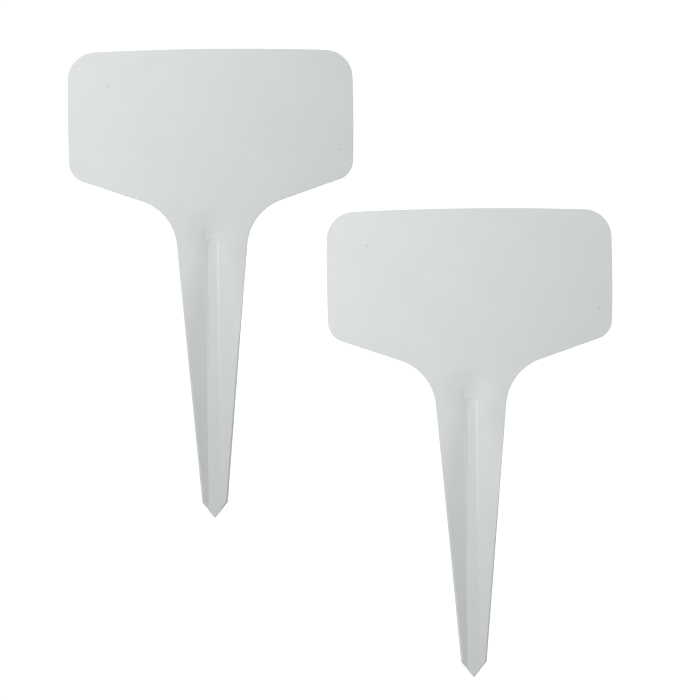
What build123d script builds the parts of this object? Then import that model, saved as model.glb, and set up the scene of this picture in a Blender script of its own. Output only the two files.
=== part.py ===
from build123d import *

import os
from math import radians, tan

os.makedirs("parts", exist_ok=True)

# A pair of loose plant label stakes, lying face up side by side on a table.
# Each one is a single thin plastic moulding: a wide head to write on, a rounded neck, and a
# tapered stem with a pointed tip for soil. The stem's sides rise out of the head's plane and
# its flanks slope down from them to a flat keel, a shallow gutter that stiffens it.
# X runs across the labels, Y from the tips to the heads, and Z out of the written faces.
# The origin is on the table, under the middle of the pair.
# Heights along a stake are measured from its tip. Lengths are in millimetres, angles in degrees.

# The sheet that everything is moulded in, and the small bevel round its rim
label_thickness = 1.0
rim_bevel = 0.18

# The head, with a slightly crowned top and sides
stake_length = 98.6
head_width = 60.0
head_side_height = 26.0
top_crown = 0.7
side_crown = 0.25
top_corner_radius = 5.4
lower_corner_radius = 4.1
underside_angle = 18.9

# The neck, the stem and its point
neck_radius = 10.7
stem_top_width = 15.0
shoulder_width = 5.5
tip_length = 3.3
shoulder_radius = 0.8
tip_radius = 0.2

# The gutter: a flat keel, flanks that slope up from it, and sides that rise towards the tip
keel_width = 2.8
flank_angle = 18.0
side_rise_angle = 3.8
rise_start = 61.5

# The shallow round dish in the front of the neck that the gutter starts from
dish_height = 58.8
dish_radius = 5.2
dish_depth = 0.36

# The channel sunk in the front of the keel, with a round end, which fades out down the stem
channel_top = 58.4
channel_width = 2.3
channel_depth = 0.55
channel_length = 32.0
channel_draft_angle = 30.0

# How the pair lies: the right stake is a step across and a step down from the left one
head_overlap = 6.0
row_gap = 7.4

# How far the cutting shapes run past the plastic
overrun = 1.0

# Sizes that follow from the ones above
head_top_corner = stake_length - top_crown
head_low_corner = head_top_corner - head_side_height
head_end_half = head_width / 2 - side_crown
stem_taper = (stem_top_width - shoulder_width) / 2 / (channel_top - tip_length)
blunt_tip_half = shoulder_width / 2 - stem_taper * tip_length
underside_rise = tan(radians(underside_angle))
neck_corner = (head_low_corner - underside_rise * (head_end_half - blunt_tip_half)) / (
    1 - stem_taper * underside_rise
)
neck_corner_half = blunt_tip_half + neck_corner * stem_taper
keel_half = keel_width / 2
flank_slope = tan(radians(flank_angle))
side_slope = tan(radians(side_rise_angle))
full_rise = side_slope * (rise_start + overrun)
flank_run = full_rise / flank_slope

# On the front, the gutter's corners are where the offset planes of the bent sheet meet
keel_front_half = keel_half - label_thickness * tan(radians(flank_angle / 2))
rise_front_start = rise_start + label_thickness * tan(radians(side_rise_angle / 2))

# The space under the right side of the stem, which the back doesn't fill
with BuildPart() as under_side:
    with BuildSketch(Plane.XZ.offset(overrun)):
        Polygon(
            (keel_half, 0),
            (keel_half + flank_run, full_rise),
            (keel_half + flank_run, 0),
            align=None,
        )
    extrude(amount=-overrun - rise_start)
    with BuildSketch(Plane.YZ):
        Polygon((rise_start, 0), (-overrun, full_rise), (-overrun, 0), align=None)
    extrude(amount=head_width, mode=Mode.INTERSECT)

# One whole stake, with its tip at the origin and its back on the table
with BuildPart() as stake:
    # The outline is drawn once and stands up as high as the stem's sides could rise
    with BuildSketch() as outline:
        with BuildLine():
            head_top = ThreePointArc(
                (-head_end_half, head_top_corner),
                (0, stake_length),
                (head_end_half, head_top_corner),
            )
            head_side = ThreePointArc(
                head_top @ 1,
                (head_width / 2, (head_top_corner + head_low_corner) / 2),
                (head_end_half, head_low_corner),
            )
            underside_and_stem = Polyline(
                head_side @ 1,
                (neck_corner_half, neck_corner),
                (shoulder_width / 2, tip_length),
                (0, 0),
            )
            mirror(head_side, about=Plane.YZ)
            mirror(underside_and_stem, about=Plane.YZ)
        make_face()
        fillet(outline.vertices().group_by(Axis.Y)[-1], top_corner_radius)
        fillet(outline.vertices().group_by(Axis.Y)[3], lower_corner_radius)
        fillet(outline.vertices().group_by(Axis.Y)[2], neck_radius)
        fillet(outline.vertices().group_by(Axis.Y)[1], shoulder_radius)
        fillet(outline.vertices().group_by(Axis.Y)[0], tip_radius)
    extrude(amount=label_thickness + full_rise)

    # The front is cut level over the head, and along the rising sides of the stem below it
    with BuildSketch(Plane.YZ):
        Polygon(
            (-overrun, label_thickness + full_rise),
            (rise_front_start, label_thickness),
            (stake_length + overrun, label_thickness),
            (stake_length + overrun, label_thickness + full_rise + overrun),
            (-overrun, label_thickness + full_rise + overrun),
            align=None,
        )
    extrude(amount=head_width, both=True, mode=Mode.SUBTRACT)

    # The gutter is cut into the front of the stem, and the back is cleared on both sides of it
    with BuildSketch(Plane.XZ.offset(overrun)):
        Polygon(
            (-keel_front_half, label_thickness),
            (keel_front_half, label_thickness),
            (keel_front_half + flank_run, label_thickness + full_rise),
            (-keel_front_half - flank_run, label_thickness + full_rise),
            align=None,
        )
    extrude(amount=-overrun - rise_front_start, mode=Mode.SUBTRACT)
    add(under_side.part, mode=Mode.SUBTRACT)
    add(mirror(under_side.part, about=Plane.YZ, mode=Mode.PRIVATE), mode=Mode.SUBTRACT)

    # The rim is bevelled all round the front, and round the head on the back
    walls = stake.faces().filter_by(lambda face: abs(face.normal_at().Z) < 0.001)
    fronts = stake.faces().filter_by(lambda face: face.normal_at().Z > 0.5)
    level_back = stake.faces().sort_by(Axis.Z)[0]
    front_rim = walls.edges() & fronts.edges()
    head_back_rim = (walls.edges() & level_back.edges()).filter_by(
        lambda edge: edge.center().Y > rise_start
    )
    chamfer(front_rim + head_back_rim, rim_bevel)

    # The dish is a very flat part of a ball
    dish_ball = (dish_radius**2 + dish_depth**2) / (2 * dish_depth)
    with Locations((0, dish_height, label_thickness - dish_depth + dish_ball)):
        Sphere(dish_ball, mode=Mode.SUBTRACT)

    # The channel's floor rises towards the tip until it meets the front of the keel
    channel_floor = Plane(
        origin=(0, channel_top, label_thickness - channel_depth),
        x_dir=(1, 0, 0),
        z_dir=(0, channel_depth / channel_length, 1),
    )
    with BuildSketch(channel_floor):
        with Locations((0, -channel_width / 2)):
            Circle(channel_width / 2)
            Rectangle(channel_width, channel_length + overrun, align=(Align.CENTER, Align.MAX))
    extrude(amount=channel_depth + overrun, taper=-channel_draft_angle, mode=Mode.SUBTRACT)

# The pair is the same moulding twice, placed so that the middle of both is over the origin
step_across = head_width - head_overlap
step_down = head_side_height + top_crown + row_gap
middle_height = stake.part.bounding_box().center().Y
left_spot = (-step_across / 2, step_down / 2 - middle_height)
right_spot = (step_across / 2, -step_down / 2 - middle_height)
for name, spot in [("left_stake", left_spot), ("right_stake", right_spot)]:
    with BuildPart() as laid_stake:
        with Locations(spot):
            add(stake.part)
    laid_stake.part.label = name
    export_step(laid_stake.part, f"parts/{name}.step")
    print(name, laid_stake.part.bounding_box())
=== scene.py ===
# %% [markdown]
# # A pair of plastic plant label stakes
# Two equal labels lie on a white table and are seen from straight above. Each is one thin shot
# of satin plastic: a wide head to write on, a rounded neck, and a tapered stem with a point.
# Nothing is joined to anything, so the whole likeness rests on four things: a true outline, the
# shallow relief of the stem, a plastic that is nearly but not quite even, and light that is soft
# enough to show all three.

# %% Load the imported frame
from math import atan2, cos, hypot, pi, radians, sin, tan

import bmesh
import bpy
from mathutils import Matrix, Vector


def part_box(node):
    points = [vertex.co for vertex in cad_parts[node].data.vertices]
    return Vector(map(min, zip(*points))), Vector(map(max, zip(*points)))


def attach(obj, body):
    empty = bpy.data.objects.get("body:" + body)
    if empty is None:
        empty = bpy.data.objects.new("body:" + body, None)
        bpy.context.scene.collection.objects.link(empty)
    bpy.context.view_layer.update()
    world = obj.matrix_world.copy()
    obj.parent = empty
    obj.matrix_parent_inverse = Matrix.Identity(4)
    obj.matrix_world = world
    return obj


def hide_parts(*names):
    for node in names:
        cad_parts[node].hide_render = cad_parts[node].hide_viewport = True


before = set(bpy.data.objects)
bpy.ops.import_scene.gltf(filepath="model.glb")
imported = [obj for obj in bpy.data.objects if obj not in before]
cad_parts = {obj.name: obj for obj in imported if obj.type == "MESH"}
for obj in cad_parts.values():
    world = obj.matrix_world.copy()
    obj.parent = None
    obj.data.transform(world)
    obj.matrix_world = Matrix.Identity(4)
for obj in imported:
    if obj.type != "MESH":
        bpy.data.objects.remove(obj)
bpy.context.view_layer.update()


def in_mm(point):
    """A point in metres as rounded millimetres, for printing."""
    return [round(c * 1000, 2) for c in point]


print("nodes:", sorted(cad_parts))

# %% [markdown]
# The real mould was cut from a drawing, and the drawing is a handful of sizes. They are written
# here once, in millimetres and degrees, with the tip at the origin and the head up the Y axis.
# The sheet is drawn flat first, like a die-cut blank, and gets its relief afterwards. That
# keeps each step simple: a flat outline is easy to check, and so is a surface laid over it.

# %% The drawing's sizes
MM = 0.001
sheet = 1.0
stake_length, head_width, head_side = 98.6, 60.0, 26.0
top_crown, side_crown = 0.7, 0.25
top_radius, lower_radius, neck_radius = 5.4, 4.1, 10.7
underside_angle = 18.9
stem_top_width, stem_top_height = 15.0, 58.4
shoulder_width, tip_length = 5.5, 3.3
shoulder_radius, tip_radius = 0.8, 0.2

head_top = stake_length - top_crown
head_low = head_top - head_side
head_half = head_width / 2 - side_crown
taper = (stem_top_width - shoulder_width) / 2 / (stem_top_height - tip_length)
blunt_half = shoulder_width / 2 - taper * tip_length
underside_rise = tan(radians(underside_angle))
neck_height = (head_low - underside_rise * (head_half - blunt_half)) / (1 - taper * underside_rise)
neck_half = blunt_half + taper * neck_height
print(f"head {head_width} mm wide, neck corner {neck_height:.2f} mm up and {neck_half:.2f} mm out")

# %% [markdown]
# Half of the outline is enough, because the label is the same on its left and right. It could
# be a curve with handles, but the real edge is made of straight runs and round corners, so it
# is walked like one: a single vertex is extruded along each run and spun round the centre of
# each corner. A corner's arc begins one tangent length, radius x tan(turn / 2), before it.

# %% Helpers for a walk round the outline
ARC_STEP = radians(6)


def walk_to(bm, vertex, x, y):
    """Extrude a straight run from a vertex to a point, and return the new end."""
    new = bmesh.ops.extrude_vert_indiv(bm, verts=[vertex])["verts"][0]
    new.co = (x, y, 0)
    return new


def spin_round(bm, vertex, centre, turn):
    """Turn the walk round a centre, to the left for a positive turn, and return the new end."""
    made = bmesh.ops.spin(bm, geom=[vertex], cent=(*centre, 0), axis=(0, 0, 1), angle=turn,
                          steps=max(2, round(abs(turn) / ARC_STEP)), use_merge=False,
                          use_normal_flip=False, use_duplicate=False)
    return [item for item in made["geom_last"] if isinstance(item, bmesh.types.BMVert)][0]


def round_corner(bm, vertex, corner, heading_in, heading_out, radius):
    """Walk to a rounded corner and round it, from one heading to the next."""
    turn = heading_out - heading_in
    run_in = radius * tan(abs(turn) / 2)
    start = (corner[0] - run_in * cos(heading_in), corner[1] - run_in * sin(heading_in))
    vertex = walk_to(bm, vertex, *start)
    side = radius if turn > 0 else -radius
    centre = (start[0] - side * sin(heading_in), start[1] + side * cos(heading_in))
    return spin_round(bm, vertex, centre, turn)


print("arcs are drawn in steps of", round(ARC_STEP * 180 / pi), "degrees")

# %% [markdown]
# The walk starts at the blunt little tip, runs up one side of the point and the stem, out along
# the head's underside and round its two corners, and ends on the middle line. One edge down the
# middle closes it, and one face fills it.

# %% Walk the half outline
point_heading = atan2(tip_length, shoulder_width / 2)
stem_heading = atan2(1, taper)
underside_heading = radians(underside_angle)
tip_centre = tip_radius / cos(point_heading)

bm = bmesh.new()
tip = bm.verts.new((0, tip_centre - tip_radius, 0))
end = spin_round(bm, tip, (0, tip_centre), point_heading)
corners = [
    ((shoulder_width / 2, tip_length), point_heading, stem_heading, shoulder_radius),
    ((neck_half, neck_height), stem_heading, underside_heading, neck_radius),
    ((head_half, head_low), underside_heading, pi / 2, lower_radius),
    ((head_half, head_top), pi / 2, pi, top_radius),
]
for corner, heading_in, heading_out, radius in corners:
    end = round_corner(bm, end, corner, heading_in, heading_out, radius)
end = walk_to(bm, end, 0, head_top)
bm.edges.new((end, tip))
bmesh.ops.contextual_create(bm, geom=bm.edges[:])
print("half outline:", len(bm.verts), "vertices, ends at", [round(c, 2) for c in end.co])

# %% [markdown]
# The blank gets its thickness by extruding the face, and its rim a small rounding by a bevel
# along both outlines. A moulded edge is never quite sharp, and this thin rounding is what draws
# the fine line of light or shade round the real label. The edges on the middle line are left
# out, because the other half is joined on there, and the face that closes the cut is deleted
# for the same reason.

# %% Thicken the blank and round its rim
RIM, RIM_SEGMENTS = 0.1, 3
TOUCH = 1e-6


def on_middle(item):
    """Whether an edge or face lies on the middle line."""
    return all(abs(v.co.x) < TOUCH for v in item.verts)


def is_level(edge):
    """Whether an edge runs level, and so belongs to an outline and not to the wall's height."""
    return abs(edge.verts[0].co.z - edge.verts[1].co.z) < TOUCH


made = bmesh.ops.extrude_face_region(bm, geom=bm.faces[:])["geom"]
raised = [item for item in made if isinstance(item, bmesh.types.BMVert)]
bmesh.ops.translate(bm, verts=raised, vec=(0, 0, sheet))
bmesh.ops.recalc_face_normals(bm, faces=bm.faces[:])
rim = [e for e in bm.edges if is_level(e) and not on_middle(e)]
bmesh.ops.bevel(bm, geom=rim, offset=RIM, offset_type="OFFSET", segments=RIM_SEGMENTS,
                profile=0.5, affect="EDGES", material=-1, clamp_overlap=True)
bmesh.ops.delete(bm, geom=[f for f in bm.faces if on_middle(f)], context="FACES")
print("blank:", len(bm.faces), "faces,", sheet, "mm thick, rim rounded by", RIM, "mm")

# %% [markdown]
# A flat n-sided face can't bend, so the blank is cut into a net before it is formed. Bisecting
# planes cut all the faces that they cross, as a knife would. The net is fine where the stem
# changes shape, at the neck and the flanks' creases, finest at the channel's walls and round
# end, and coarse on the flat head. A grid that is even all over would be simpler, but it would
# spend most of its faces where nothing bends. A cut that comes nearer to a vertex than a sliver
# goes through the vertex instead.

# %% Cut the blank into a net
SLIVER = 1e-5


def steps(start, stop, step):
    """Evenly spaced places from start to stop, near to a wanted step apart."""
    count = max(1, round((stop - start) / step))
    return [start + (stop - start) * i / count for i in range(count + 1)]


def cut_lines(bm, axis, places, low=0.0, high=stake_length):
    """Cut across X or Y at each place, through the faces whose middles are between two heights."""
    normal = (1, 0, 0) if axis == "X" else (0, 1, 0)
    for place in places:
        faces = [f for f in bm.faces if low < f.calc_center_bounds().y < high]
        edges = list({e for f in faces for e in f.edges})
        bmesh.ops.bisect_plane(bm, geom=faces + edges, plane_co=[place * n for n in normal],
                               plane_no=normal, dist=SLIVER)


stem_rows = steps(4, 28, 1.5) + steps(29, 52, 0.8)
neck_rows, head_rows = steps(52.4, 68, 0.4), steps(70, 96, 2.6)
columns = steps(0.3, 6.6, 0.3) + steps(7.2, 10.2, 0.6) + steps(12, 28, 2)
wall_columns, wall_foot, wall_head = steps(0.7, 1.8, 0.1), 22, 60
round_end_rows, round_end_foot = steps(56.9, 59.1, 0.15), 56

cut_lines(bm, "Y", stem_rows + neck_rows + head_rows)
cut_lines(bm, "X", columns)
cut_lines(bm, "X", wall_columns, low=wall_foot, high=wall_head)
cut_lines(bm, "Y", round_end_rows, low=round_end_foot, high=wall_head)
print("net:", len(bm.faces), "faces")

# %% [markdown]
# The stem is not flat. A thin strip would fold in the soil, so the mould gives it a gutter: a
# flat keel down the middle, a flank that slopes up on each side, and outside the flanks two
# wings that rise out of the head's plane towards the tip. The lower the stem, the narrower it
# is, until the flanks fill it from the keel to the edge. It could be sculpted, but each of these
# is a plain slope with a soft bend, so each is written as one. Two slopes meet in a crease, and
# the sheet takes the lower of them, blended softly. The flanks lean by 10 degrees at the neck
# and by 23 at the tip, because the real left flank gets darker on its way down.

# %% The gutter, as the height of the sheet's back
keel_half, flank_slope, flank_steepening, flank_bend = 1.5, 0.18, 0.26, 0.2
wing_start, wing_slope, wing_bend, wing_corner = 60.5, 0.0655, 4.0, 1.1


def bend(distance, width):
    """Nothing before a crease, its distance after it, and a round bend of a half-width between."""
    if distance <= -width:
        return 0.0
    return distance if distance >= width else (distance + width) ** 2 / (4 * width)


def back_height(x, y):
    """How high the back of the sheet stands off the table."""
    wing = wing_slope * bend(wing_start - y, wing_bend)
    slope = flank_slope + flank_steepening * max(0.0, 1 - y / wing_start)
    flank = slope * bend(abs(x) - keel_half, flank_bend)
    corner = wing_corner * wing / (wing + wing_corner)
    return wing - bend(wing - flank, corner) if corner > TOUCH else min(wing, flank)


print("back at the shoulders:", round(back_height(shoulder_width / 2, tip_length), 2), "mm up")

# %% [markdown]
# Two things are sunk into the front alone. A shallow dish starts the gutter at the neck, with a
# small pit in it, and a channel with a round end runs down the keel from there and fades out.
# The dish and the pit are bowls with soft rims. The channel's depth follows the distance in from
# its wall. Below the centre of its round end that distance is measured straight across, and
# above it from the centre, so the end comes out round by itself. The channel is no deeper than a
# thick sheet of paper, because steeper walls would be darker than the real ones are.

# %% The dish and the channel, as depths in the sheet's front
dish_height, dish_radius, dish_depth = 59.75, 6.25, 0.42
pit_height, pit_radius, pit_depth = 58.9, 3.0, 0.17
groove_top, groove_half, groove_wall = 58.6, 1.08, 0.5
groove_depth, groove_length = 0.14, 36.0


def bowl(x, y, height, radius, depth):
    """How deep a round bowl with a soft rim is at a place."""
    near = max(0.0, 1 - (x * x + (y - height) ** 2) / radius ** 2)
    return depth * near ** 2


def front_dip(x, y):
    """How deep the dish, its pit and the channel are sunk into the front of the sheet."""
    dish = bowl(x, y, dish_height, dish_radius, dish_depth)
    pit = bowl(x, y, pit_height, pit_radius, pit_depth)
    inside = groove_half - hypot(x, y - min(y, groove_top - groove_half))
    wall = min(1.0, max(0.0, inside / groove_wall + 0.5))
    fade = max(0.0, 1 - (groove_top - y) / groove_length)
    return dish + pit + groove_depth * fade * wall * wall * (3 - 2 * wall)


print("front at the channel's head:", round(front_dip(0, groove_top - groove_half), 2), "mm down")

# %% [markdown]
# Before the blank is formed, it is finished flat. The head's top and sides are crowned: they
# look straight, but bow out by less than a millimetre. Then each corner's place is written into
# a UV map, one unit to 100 mm with the stem at 0.5. A pattern that is laid out on the blank
# stays at its place on the plastic afterwards, whatever the relief does to it.

# %% Crown the head and map the blank
MAP_UNIT, MAP_MIDDLE = 100, 0.5


def crown(bm):
    """Bow the head's top and sides out a little."""
    for v in bm.verts:
        up = (v.co.y - head_low) / head_side
        if up > 0:
            bow = side_crown * max(0.0, 1 - (2 * up - 1) ** 2)
            v.co.y += top_crown * (1 - (v.co.x / head_half) ** 2) * min(1.0, up) ** 2
            v.co.x *= 1 + bow / head_half


def map_place(x, y):
    """The place in the UV map of a place on the blank, in millimetres."""
    return x / MAP_UNIT + MAP_MIDDLE, y / MAP_UNIT


def keep_flat_map(bm):
    """Write each corner's place on the blank into a UV map."""
    layer = bm.loops.layers.uv.new("flat")
    for face in bm.faces:
        for loop in face.loops:
            loop[layer].uv = map_place(loop.vert.co.x, loop.vert.co.y)


crown(bm)
keep_flat_map(bm)
print("mapped", len(bm.faces), "faces, the head's top at", map_place(0, stake_length))

# %% [markdown]
# Now the flat net is laid over the heights, as a warm sheet would be pressed over a mould. Each
# vertex keeps its height above the back, but along the slope's own normal, so the sheet stays
# as thick on the flanks as on the head. It also tips the stem's edges outwards and up, which is
# why the real ones show as a bright line on one side and a dark line on the other. The dips
# fade out from the front to the back with the cube of the height, which leaves the back plain,
# as it is where it lies on the table. A mirror then adds the other half and its side of the map.

# %% Form the stem and add the other half
SPAN = 0.05
SEAM = 1e-4


def form(bm):
    """Lay the flat sheet over the relief."""
    for v in bm.verts:
        x, y, height = v.co
        rise_x = (back_height(x + SPAN, y) - back_height(x - SPAN, y)) / (2 * SPAN)
        rise_y = (back_height(x, y + SPAN) - back_height(x, y - SPAN)) / (2 * SPAN)
        normal = Vector((-rise_x if x > TOUCH else 0, -rise_y, 1)).normalized()
        height -= front_dip(x, y) * (height / sheet) ** 3
        v.co = Vector((x, y, back_height(x, y))) + height * normal


def mirror_over(bm):
    """Add the other half, joined on the middle line, with its own side of the UV map."""
    old = set(bm.faces)
    bmesh.ops.mirror(bm, geom=bm.verts[:] + bm.edges[:] + bm.faces[:], axis="X", merge_dist=SEAM)
    layer = bm.loops.layers.uv["flat"]
    for face in bm.faces:
        if face not in old:
            for loop in face.loops:
                loop[layer].uv.x = 2 * MAP_MIDDLE - loop[layer].uv.x
    bmesh.ops.recalc_face_normals(bm, faces=bm.faces[:])


form(bm)
mirror_over(bm)
open_edges = sum(not e.is_manifold for e in bm.edges)
print("whole label:", len(bm.faces), "faces, open edges:", open_edges)

# %% [markdown]
# The finished label is copied twice, because the real pair comes out of one mould. Each copy is
# set down at its own CAD box, so that it lies exactly where the solid does, and its place goes
# into the mesh while the object stays at the origin. The rim's narrow faces would tilt the
# shading of the wide ones beside them, so a weighted normal modifier lets the large faces win.

# %% Set both labels down


def set_down(bm, name, node):
    """Copy the label to the place of a CAD node, as a smooth-shaded object in metres."""
    low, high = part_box(node)
    tip_spot = Vector(((low.x + high.x) / 2, high.y - stake_length * MM, low.z))
    mesh = bpy.data.meshes.new(name)
    bm.to_mesh(mesh)
    mesh.transform(Matrix.Translation(tip_spot) @ Matrix.Scale(MM, 4))
    mesh.shade_smooth()
    piece = bpy.data.objects.new(name, mesh)
    bpy.context.scene.collection.objects.link(piece)
    piece.modifiers.new("even_normals", "WEIGHTED_NORMAL").keep_sharp = False
    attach(piece, "root")
    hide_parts(node)
    print(name, "has its tip at", in_mm(tip_spot), "mm")
    return piece, tip_spot


placed = [set_down(bm, "left_label", "left_stake"), set_down(bm, "right_label", "right_stake")]
bm.free()

# %% [markdown]
# Next the finishes. Four effects are each built once as a shader node group with named inputs,
# so that the plastic and the table can share them with their own values. A small helper starts
# a group with its sockets, and another adds a node, sets its plain values and links its inputs.
# The patterns work in real sizes, so that a millimetre of grain is a millimetre on the label.

# %% Helpers for node groups


def start_group(name, inputs, outputs):
    """Make a shader node group with (name, kind, default) inputs and (name, kind) outputs."""
    group = bpy.data.node_groups.new(name, "ShaderNodeTree")
    for label, kind, default in inputs:
        socket = group.interface.new_socket(label, in_out="INPUT", socket_type="NodeSocket" + kind)
        if default is not None:
            socket.default_value = default
    for label, kind in outputs:
        group.interface.new_socket(label, in_out="OUTPUT", socket_type="NodeSocket" + kind)
    given = group.nodes.new("NodeGroupInput").outputs
    result = group.nodes.new("NodeGroupOutput").inputs
    return group, given, result


def fill_inputs(tree, node, inputs):
    """Give a node's inputs values or links, by the socket's name or by i and its number."""
    for key, value in inputs.items():
        numbered = key[0] == "i" and key[1:].isdigit()
        socket = node.inputs[int(key[1:]) if numbered else key.replace("_", " ")]
        if isinstance(value, bpy.types.NodeSocket):
            tree.links.new(value, socket)
        else:
            socket.default_value = value
    return node


def add_node(tree, kind, settings=None, **inputs):
    """Add a shader node with its settings and inputs."""
    node = tree.nodes.new("ShaderNode" + kind)
    for key, value in (settings or {}).items():
        setattr(node, key, value)
    return fill_inputs(tree, node, inputs)


def add_group(tree, group, **inputs):
    """Place a node group in a tree, with its inputs."""
    node = tree.nodes.new("ShaderNodeGroup")
    node.node_tree = group
    return fill_inputs(tree, node, inputs)


print("node helpers ready")

# %% [markdown]
# The first group is an uneven height: soft noise of a chosen size. At half a millimetre it is
# the fine grain that a spark-eroded mould leaves on satin plastic, and at several millimetres it
# is the slow waviness of a thin sheet that cooled unevenly. On the table it is paper's tooth.

# %% Group: uneven height
uneven, given, result = start_group(
    "uneven_height",
    [("Place", "Vector", None), ("Size", "Float", 0.001), ("Detail", "Float", 2.0)],
    [("Height", "Float")],
)
per_metre = add_node(uneven, "Math", {"operation": "DIVIDE"}, i0=1.0, i1=given["Size"])
noise = add_node(uneven, "TexNoise", Vector=given["Place"], Scale=per_metre.outputs[0],
                 Detail=given["Detail"], Roughness=0.5)
uneven.links.new(noise.outputs["Fac"], result["Height"])
print(uneven.name, "has", len(uneven.nodes), "nodes")

# %% [markdown]
# The second is a cloudy tone. Pigment never mixes perfectly into plastic, and it flows with the
# melt, so the colour drifts by about one part in a hundred over a centimetre. The group scales
# a colour up and down by soft clouds. A stronger drift would read as dirt, and none at all as
# computer plastic. The noise spends nearly all its values between 0.3 and 0.7, so that is the
# range which is spread over the drift.

# %% Group: cloudy tone
NOISE_LOW, NOISE_HIGH = 0.3, 0.7
cloudy, given, result = start_group(
    "cloudy_tone",
    [("Place", "Vector", None), ("Size", "Float", 0.01), ("Drift", "Float", 0.01),
     ("Color", "Color", (0.8, 0.8, 0.8, 1))],
    [("Color", "Color")],
)
clouds = add_group(cloudy, uneven, Place=given["Place"], Size=given["Size"], Detail=3.0)
darkest = add_node(cloudy, "Math", {"operation": "SUBTRACT"}, i0=1.0, i1=given["Drift"])
lightest = add_node(cloudy, "Math", {"operation": "ADD"}, i0=1.0, i1=given["Drift"])
factor = add_node(cloudy, "MapRange", Value=clouds.outputs["Height"], From_Min=NOISE_LOW,
                  From_Max=NOISE_HIGH, To_Min=darkest.outputs[0], To_Max=lightest.outputs[0])
scaled = add_node(cloudy, "VectorMath", {"operation": "SCALE"}, i0=given["Color"],
                  Scale=factor.outputs["Result"])
cloudy.links.new(scaled.outputs["Vector"], result["Color"])
print(cloudy.name, "has", len(cloudy.nodes), "nodes")

# %% [markdown]
# The third is a stray speck. The real label shows two faint dark specks on its head. The
# group gives a soft round mask about a spot, with the noise of the first group pushing its edge
# in and out. It reads the flat blank's UV map and not the object's coordinates, so the same
# speck comes out at the same place on every label.

# %% Group: stray speck
SOFT_EDGE = 1.5
speck, given, result = start_group(
    "stray_speck",
    [("Place", "Vector", None), ("Spot", "Vector", (0, 0, 0)), ("Radius", "Float", 0.003)],
    [("Mask", "Float")],
)
distance = add_node(speck, "VectorMath", {"operation": "DISTANCE"}, i0=given["Place"],
                    i1=given["Spot"])
ragged = add_group(speck, uneven, Place=given["Place"], Size=given["Radius"], Detail=1.0)
push = add_node(speck, "Math", {"operation": "MULTIPLY_ADD"}, i0=ragged.outputs["Height"],
                i1=given["Radius"], i2=distance.outputs["Value"])
reach = add_node(speck, "Math", {"operation": "MULTIPLY"}, i0=given["Radius"], i1=SOFT_EDGE)
mask = add_node(speck, "MapRange", {"interpolation_type": "SMOOTHSTEP"},
                Value=push.outputs[0], From_Min=given["Radius"], From_Max=reach.outputs[0],
                To_Min=1.0, To_Max=0.0)
speck.links.new(mask.outputs["Result"], result["Mask"])
print(speck.name, "has", len(speck.nodes), "nodes")

# %% [markdown]
# The fourth is a painted highlight: a pale line painted into the colour. The real channel's
# right lip is brighter than its slope explains, and most so at its top, so the light that it
# catches is painted along it. The group gives a mask about a straight line on the blank, which
# fades from the line's head down to its foot. It takes the blank's UV map too, where the lip is
# a straight line and easy to name.

# %% Group: painted highlight line
highlight_group, given, result = start_group(
    "painted_highlight_line",
    [("Place", "Vector", None), ("Across", "Float", 0.5), ("Half Width", "Float", 0.003),
     ("Foot", "Float", 0.0), ("Head", "Float", 1.0)],
    [("Mask", "Float")],
)
parts = add_node(highlight_group, "SeparateXYZ", i0=given["Place"]).outputs
aside = add_node(highlight_group, "Math", {"operation": "SUBTRACT"}, i0=parts["X"], i1=given["Across"])
away = add_node(highlight_group, "Math", {"operation": "ABSOLUTE"}, i0=aside.outputs[0])
narrow = add_node(highlight_group, "MapRange", {"interpolation_type": "SMOOTHSTEP"}, Value=away.outputs[0],
                  From_Min=0.0, From_Max=given["Half Width"], To_Min=1.0, To_Max=0.0)
fading = add_node(highlight_group, "MapRange", Value=parts["Y"], From_Min=given["Foot"],
                  From_Max=given["Head"])
below = add_node(highlight_group, "Math", {"operation": "LESS_THAN"}, i0=parts["Y"], i1=given["Head"])
strip = add_node(highlight_group, "Math", {"operation": "MULTIPLY"}, i0=narrow.outputs["Result"],
                 i1=fading.outputs["Result"])
mask = add_node(highlight_group, "Math", {"operation": "MULTIPLY"}, i0=strip.outputs[0],
                i1=below.outputs[0])
highlight_group.links.new(mask.outputs[0], result["Mask"])
print(highlight_group.name, "has", len(highlight_group.nodes), "nodes")

# %% [markdown]
# The plastic itself is a cool greyish white with a satin finish. The cloudy tone gives the
# colour, a painted highlight pales it along the channel's right lip, and the specks darken it a
# little where they lie. A speck is named by its place on the blank and its radius, and the
# painted highlight by its place across, its half width, its foot and its head, all in millimetres.

# %% The label plastic's colour
PLASTIC = (0.69, 0.72, 0.713, 1)
CLOUD_SIZE, CLOUD_DRIFT = 0.011, 0.012
SPECK_COLOR = (0.58, 0.6, 0.59, 1)
SPECKS = [(-21.4, 91.0, 0.38), (27.2, 77.3, 0.32)]
# Painted highlight: the paler colour that is painted along the channel's right lip.
PAINTED_HIGHLIGHT_COLOR = (0.8, 0.83, 0.82, 1)
HIGHLIGHT_ACROSS, HIGHLIGHT_HALF, HIGHLIGHT_FOOT, HIGHLIGHT_HEAD = 1.25, 0.4, 24.0, 58.0

plastic = bpy.data.materials.new("label_plastic")
plastic.use_nodes = True
tree = plastic.node_tree
shader = tree.nodes["Principled BSDF"]
place = add_node(tree, "TexCoord").outputs["Object"]
blank = add_node(tree, "UVMap", {"uv_map": "flat"}).outputs["UV"]

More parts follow.
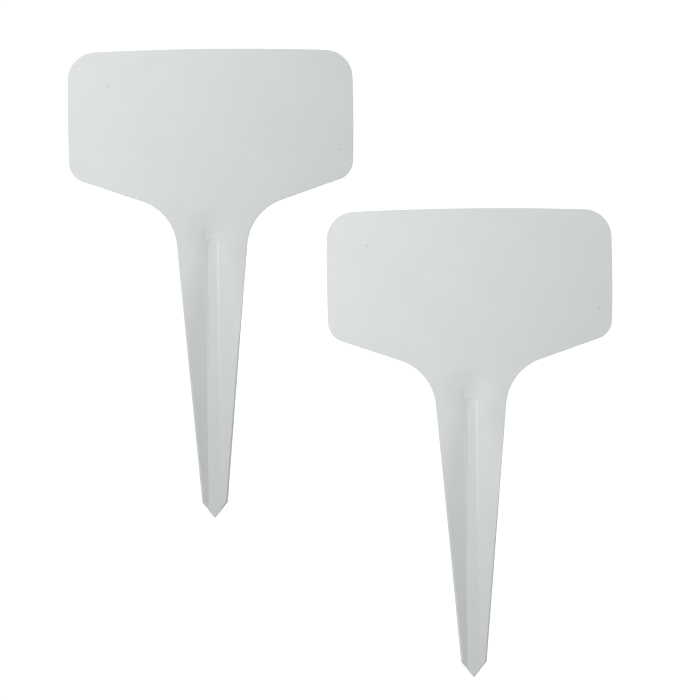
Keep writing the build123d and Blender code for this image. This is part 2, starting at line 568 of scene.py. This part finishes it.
color = add_group(tree, cloudy, Place=place, Size=CLOUD_SIZE, Drift=CLOUD_DRIFT, Color=PLASTIC)
spotted = None
for across, up, radius in SPECKS:
    spot = add_group(tree, speck, Place=blank, Spot=(*map_place(across, up), 0),
                     Radius=radius / MAP_UNIT).outputs["Mask"]
    spotted = spot if spotted is None else add_node(
        tree, "Math", {"operation": "MAXIMUM"}, i0=spotted, i1=spot).outputs[0]
# Painted highlight: a mask pales the channel's right lip, standing in for the light it catches.
highlight_x, highlight_foot = map_place(HIGHLIGHT_ACROSS, HIGHLIGHT_FOOT)
highlight_mask = add_group(tree, highlight_group, Place=blank, Across=highlight_x, Half_Width=HIGHLIGHT_HALF / MAP_UNIT,
                Foot=highlight_foot, Head=HIGHLIGHT_HEAD / MAP_UNIT).outputs["Mask"]
highlighted_color = add_node(tree, "Mix", {"data_type": "RGBA"}, i0=highlight_mask, i6=color.outputs["Color"],
                 i7=PAINTED_HIGHLIGHT_COLOR)
mixed = add_node(tree, "Mix", {"data_type": "RGBA"}, i0=spotted, i6=highlighted_color.outputs[2],
                 i7=SPECK_COLOR)
tree.links.new(mixed.outputs[2], shader.inputs["Base Color"])
print("plastic colour", PLASTIC[:3], "with", len(SPECKS), "specks")

# %% [markdown]
# A few thousandths of a millimetre of grain roughen the plastic, so it still looks smooth from
# arm's length and only loses its computer-clean highlight. One Bump node carries two heights,
# added with their own weights: the slow wave counts for much more height than the grain, but it
# is spread over a distance nearly thirty times as long. The roughness follows faint handling
# marks and the grain, because where the mould is rougher the plastic is duller as well. It
# stays between about 0.5 and 0.6.

# %% The label plastic's surface
BUMP_UNIT = 0.00001
WAVE_SIZE, GRAIN_SIZE, HANDLING_SIZE = 0.014, 0.0005, 0.004
WAVE_WEIGHT, GRAIN_WEIGHT = 5.0, 0.5
SATIN_LOW, SATIN_HIGH = 0.5, 0.6

wave = add_group(tree, uneven, Place=place, Size=WAVE_SIZE, Detail=1.0)
grain = add_group(tree, uneven, Place=place, Size=GRAIN_SIZE, Detail=2.0)
waves = add_node(tree, "Math", {"operation": "MULTIPLY"}, i0=wave.outputs["Height"],
                 i1=WAVE_WEIGHT)
height = add_node(tree, "Math", {"operation": "MULTIPLY_ADD"}, i0=grain.outputs["Height"],
                  i1=GRAIN_WEIGHT, i2=waves.outputs[0])
bump = add_node(tree, "Bump", Strength=1.0, Distance=BUMP_UNIT, Height=height.outputs[0])
tree.links.new(bump.outputs["Normal"], shader.inputs["Normal"])

handled = add_group(tree, uneven, Place=place, Size=HANDLING_SIZE, Detail=4.0)
both = add_node(tree, "Math", {"operation": "ADD"}, i0=handled.outputs["Height"],
                i1=grain.outputs["Height"])
dullness = add_node(tree, "MapRange", Value=both.outputs[0], From_Min=2 * NOISE_LOW,
                    From_Max=2 * NOISE_HIGH, To_Min=SATIN_LOW, To_Max=SATIN_HIGH)
tree.links.new(dullness.outputs["Result"], shader.inputs["Roughness"])
for piece, _ in placed:
    piece.data.materials.append(plastic)
print("plastic:", len(tree.nodes), "nodes on", len(placed), "labels")

# %% [markdown]
# The table is a plain sheet of white paper, far larger than the view, so no edge shows. Two
# faces in one plane flicker through each other, so the paper lies a hair above the labels'
# backs, as paper gives a little under what rests on it.

# %% The table
FLOOR_HALF = 1.5
PAPER_GIVE = 0.02 * MM

floor_mesh = bpy.data.meshes.new("table")
bm = bmesh.new()
bmesh.ops.create_grid(bm, x_segments=1, y_segments=1, size=FLOOR_HALF,
                      matrix=Matrix.Translation((0, 0, PAPER_GIVE)))
bm.to_mesh(floor_mesh)
bm.free()
floor = bpy.data.objects.new("table", floor_mesh)
bpy.context.scene.collection.objects.link(floor)
print("table:", 2 * FLOOR_HALF, "m wide")

# %% [markdown]
# In the photograph the white is blown out completely. More light would do that too, but it
# would also bleach the labels, so only what a camera, a gloss or a glass sees of the paper is
# lifted to white. A faint soft shadow stays where the labels touch it. The lamps further down
# shine on the labels alone, and the paper would stay darker than a lit one. A glow towards the
# labels stands for the light that lit paper throws back at their edges, about three quarters of
# white. A mask tells what is seen from what only sheds light. It is a helper, because the even
# light needs it as well.

# %% The white paper
PAPER = (0.85, 0.85, 0.85, 1)
PAPER_ROUGHNESS = 0.9
PAPER_CLOUDS, PAPER_DRIFT, PAPER_TOOTH = 0.03, 0.004, 0.0006
LIFT = 0.88
BOUNCE = 0.75


def seen_directly(tree):
    """A mask that is 1 for what the camera, a glossy or a clear surface sees, and 0 for light."""
    path = add_node(tree, "LightPath").outputs
    shiny = add_node(tree, "Math", {"operation": "MAXIMUM"}, i0=path["Is Glossy Ray"],
                     i1=path["Is Transmission Ray"])
    return add_node(tree, "Math", {"operation": "MAXIMUM"}, i0=path["Is Camera Ray"],
                    i1=shiny.outputs[0]).outputs[0]


paper = bpy.data.materials.new("white_paper")
paper.use_nodes = True
tree = paper.node_tree
shader = tree.nodes["Principled BSDF"]
place = add_node(tree, "TexCoord").outputs["Object"]
color = add_group(tree, cloudy, Place=place, Size=PAPER_CLOUDS, Drift=PAPER_DRIFT, Color=PAPER)
tree.links.new(color.outputs["Color"], shader.inputs["Base Color"])
shader.inputs["Roughness"].default_value = PAPER_ROUGHNESS
tooth = add_group(tree, uneven, Place=place, Size=PAPER_TOOTH, Detail=3.0)
bump = add_node(tree, "Bump", Strength=1.0, Distance=BUMP_UNIT, Height=tooth.outputs["Height"])
tree.links.new(bump.outputs["Normal"], shader.inputs["Normal"])
shader.inputs["Emission Color"].default_value = (1, 1, 1, 1)
glow = add_node(tree, "MapRange", Value=seen_directly(tree), To_Min=BOUNCE, To_Max=LIFT)
tree.links.new(glow.outputs["Result"], shader.inputs["Emission Strength"])
floor_mesh.materials.append(paper)
print("paper:", len(tree.nodes), "nodes, lifted by", LIFT)

# %% [markdown]
# A fifth of the light is even and comes from all round, as in a white room. It is the world's
# background, again with what is seen directly kept at white. More of it would lighten both
# flanks of the stem, where the photograph has one flank dark and the other like the keel.

# %% The even light
AMBIENT = 0.2
scene = bpy.context.scene
world = bpy.data.worlds.new("white_tent")
scene.world = world
world.use_nodes = True
tree = world.node_tree
sky = tree.nodes["Background"]
sky.inputs["Color"].default_value = (1, 1, 1, 1)
strength = add_node(tree, "MapRange", Value=seen_directly(tree), To_Min=AMBIENT, To_Max=1.0)
tree.links.new(strength.outputs["Result"], sky.inputs["Strength"])
print("even light at", AMBIENT, "of white")

# %% [markdown]
# The rest comes from one round soft lamp, high over the upper left corner of a label. It stands
# seventeen degrees to the left of straight up, enough to shade the flank that leans away from
# it, and it is feathered: it points past the corner, so that its light falls off towards the
# right end of the head and towards the tip. The photograph shows the very same light and shade
# on both labels, which one near lamp can't give to two places at once, so each label has a lamp
# of its own at the same place beside it, and light linking keeps that lamp to that label.
# A lamp of W watts gives a white card that faces it, d metres away, a brightness of
# W / (pi x pi x d x d), and the watts are worked out from the share of white that is wanted.

# %% A lamp for each label
LAMP_SHARE = 0.885
LAMP_SPOT = Vector((-0.094, 0.1, 0.301))
LAMP_AIM = Vector((-0.136, 0.238, 0))
LAMP_SIZE = 0.15
HEAD_MIDDLE = Vector((0, 0.08, 0))

for piece, tip_spot in placed:
    lamp_data = bpy.data.lights.new("lamp_for_" + piece.name, "AREA")
    lamp_data.shape = "DISK"
    lamp_data.size = LAMP_SIZE
    lamp_data.energy = LAMP_SHARE * (pi * (LAMP_SPOT - HEAD_MIDDLE).length) ** 2
    lamp = bpy.data.objects.new(lamp_data.name, lamp_data)
    lamp.location = tip_spot + LAMP_SPOT
    lamp.rotation_euler = (LAMP_AIM - LAMP_SPOT).to_track_quat("-Z", "Y").to_euler()
    scene.collection.objects.link(lamp)
    lit = bpy.data.collections.new("lit_" + piece.name)
    lit.objects.link(piece)
    lamp.light_linking.receiver_collection = lit
    print(lamp.name, round(lamp_data.energy, 3), "W")

# %% [markdown]
# The camera looks straight down. Its height follows from the width of the picture in the real
# world, 147 mm, and a long lens, because the photograph shows almost no perspective. The labels
# lie a little turned in the picture, so the camera is turned and not the labels, which stay
# square in their frame. The middle of the picture is a few millimetres off the pair's middle.

# %% The camera
FRAME_WIDTH = 0.147
LENS, SENSOR = 200, 36
VIEW_X, VIEW_Y = 0.00172, 0.0027
VIEW_TURN = radians(-0.65)

camera_data = bpy.data.cameras.new("camera")
camera_data.lens, camera_data.sensor_width = LENS, SENSOR
camera_data.clip_start, camera_data.clip_end = 0.01, 20
camera = bpy.data.objects.new("camera", camera_data)
camera_height = FRAME_WIDTH * LENS / SENSOR + sheet * MM
camera.location = (VIEW_X, VIEW_Y, camera_height)
camera.rotation_euler = (0, 0, VIEW_TURN)
scene.collection.objects.link(camera)
scene.camera = camera
scene.view_settings.view_transform = "Standard"
print("camera", round(camera_height, 3), "m up")
